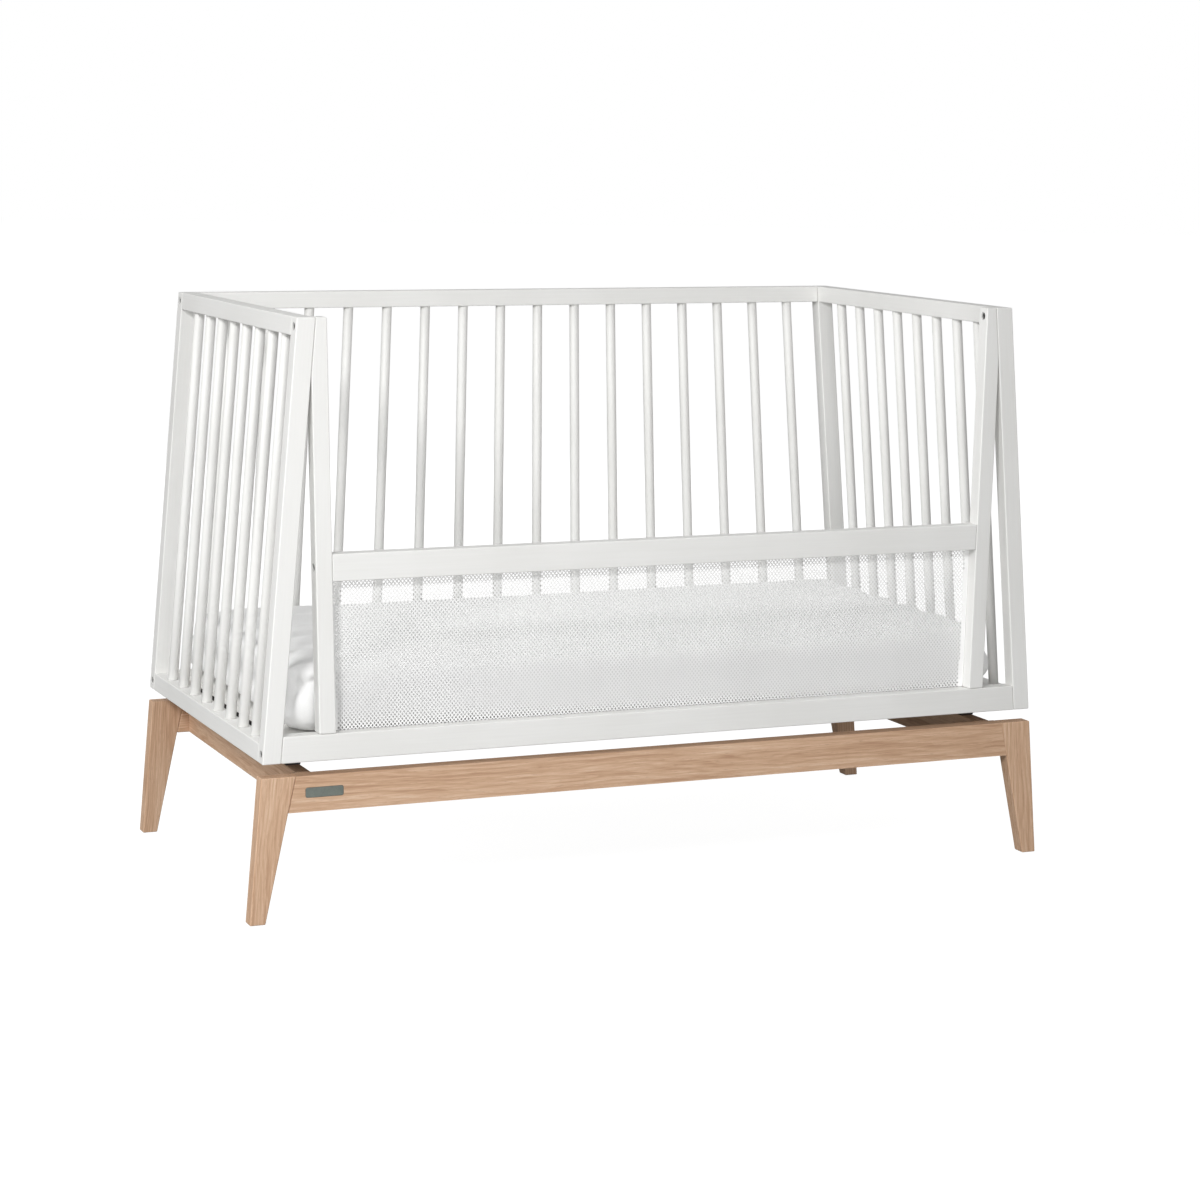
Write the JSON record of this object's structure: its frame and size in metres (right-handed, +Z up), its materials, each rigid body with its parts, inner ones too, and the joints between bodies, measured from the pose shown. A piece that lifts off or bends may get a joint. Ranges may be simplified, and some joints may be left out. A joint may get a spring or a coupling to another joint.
{
  "type": "baby crib",
  "caption": "Baby crib with inward-leaning slatted ends, a slatted back, a low front guard with a mesh panel, a mattress on a slatted base, and a splayed oak leg frame.",
  "frame": {"origin": "on the floor, under the middle of the crib", "axes": "+X along the length to the right, -Y towards the open front with the guard, +Z up"},
  "size_m": [1.32, 0.65, 0.884],
  "materials": {
    "white_lacquer": "satin white lacquer over wood",
    "oak": "pale oak, matt clear oil",
    "base_wood": "white painted wood",
    "black_steel": "black powder coat",
    "plate_metal": "brushed, blank",
    "mesh_cloth": "open white diamond mesh",
    "sheet_cloth": "white cotton jersey sheet"
  },
  "bodies": {
    "crib_frame": {"back_bottom_rail": "white_lacquer", "back_slat_1": "white_lacquer", "back_slat_10": "white_lacquer", "back_slat_11": "white_lacquer", "back_slat_12": "white_lacquer", "back_slat_13": "white_lacquer", "back_slat_14": "white_lacquer", "back_slat_15": "white_lacquer", "back_slat_16": "white_lacquer", "back_slat_2": "white_lacquer", "back_slat_3": "white_lacquer", "back_slat_4": "white_lacquer", "back_slat_5": "white_lacquer", "back_slat_6": "white_lacquer", "back_slat_7": "white_lacquer", "back_slat_8": "white_lacquer", "back_slat_9": "white_lacquer", "back_top_rail": "white_lacquer", "front_bottom_rail": "white_lacquer", "front_left_leg": "oak", "front_long_rail": "oak", "front_right_leg": "oak", "guard_left_post": "white_lacquer", "guard_mesh": "mesh_cloth", "guard_mid_rail": "white_lacquer", "guard_right_post": "white_lacquer", "left_body_tie": "black_steel", "left_bottom_rail": "white_lacquer", "left_cross_bar": "oak", "left_front_post": "white_lacquer", "left_rear_post": "white_lacquer", "left_slat_1": "white_lacquer", "left_slat_2": "white_lacquer", "left_slat_3": "white_lacquer", "left_slat_4": "white_lacquer", "left_slat_5": "white_lacquer", "left_slat_6": "white_lacquer", "left_slat_7": "white_lacquer", "left_slat_8": "white_lacquer", "left_top_rail": "white_lacquer", "name_plate": "plate_metal", "rear_left_leg": "oak", "rear_long_rail": "oak", "rear_right_leg": "oak", "right_body_tie": "black_steel", "right_bottom_rail": "white_lacquer", "right_cross_bar": "oak", "right_front_post": "white_lacquer", "right_rear_post": "white_lacquer", "right_slat_1": "white_lacquer", "right_slat_2": "white_lacquer", "right_slat_3": "white_lacquer", "right_slat_4": "white_lacquer", "right_slat_5": "white_lacquer", "right_slat_6": "white_lacquer", "right_slat_7": "white_lacquer", "right_slat_8": "white_lacquer", "right_top_rail": "white_lacquer"},
    "slatted_base": {"slatted_base": "base_wood"},
    "mattress": {"mattress": "sheet_cloth"}
  },
  "joints": [
    {"name": "base_height", "type": "slide", "parent": "crib_frame", "child": "slatted_base", "axis": [0, 0, 1], "range_m": [0, 0.172]},
    {"name": "mattress_lift", "type": "hinge", "parent": "slatted_base", "child": "mattress", "pos_m": [-0.592, 0, 0.37], "axis": [0, -1, 0], "range_deg": [0, 40]}
  ]
}
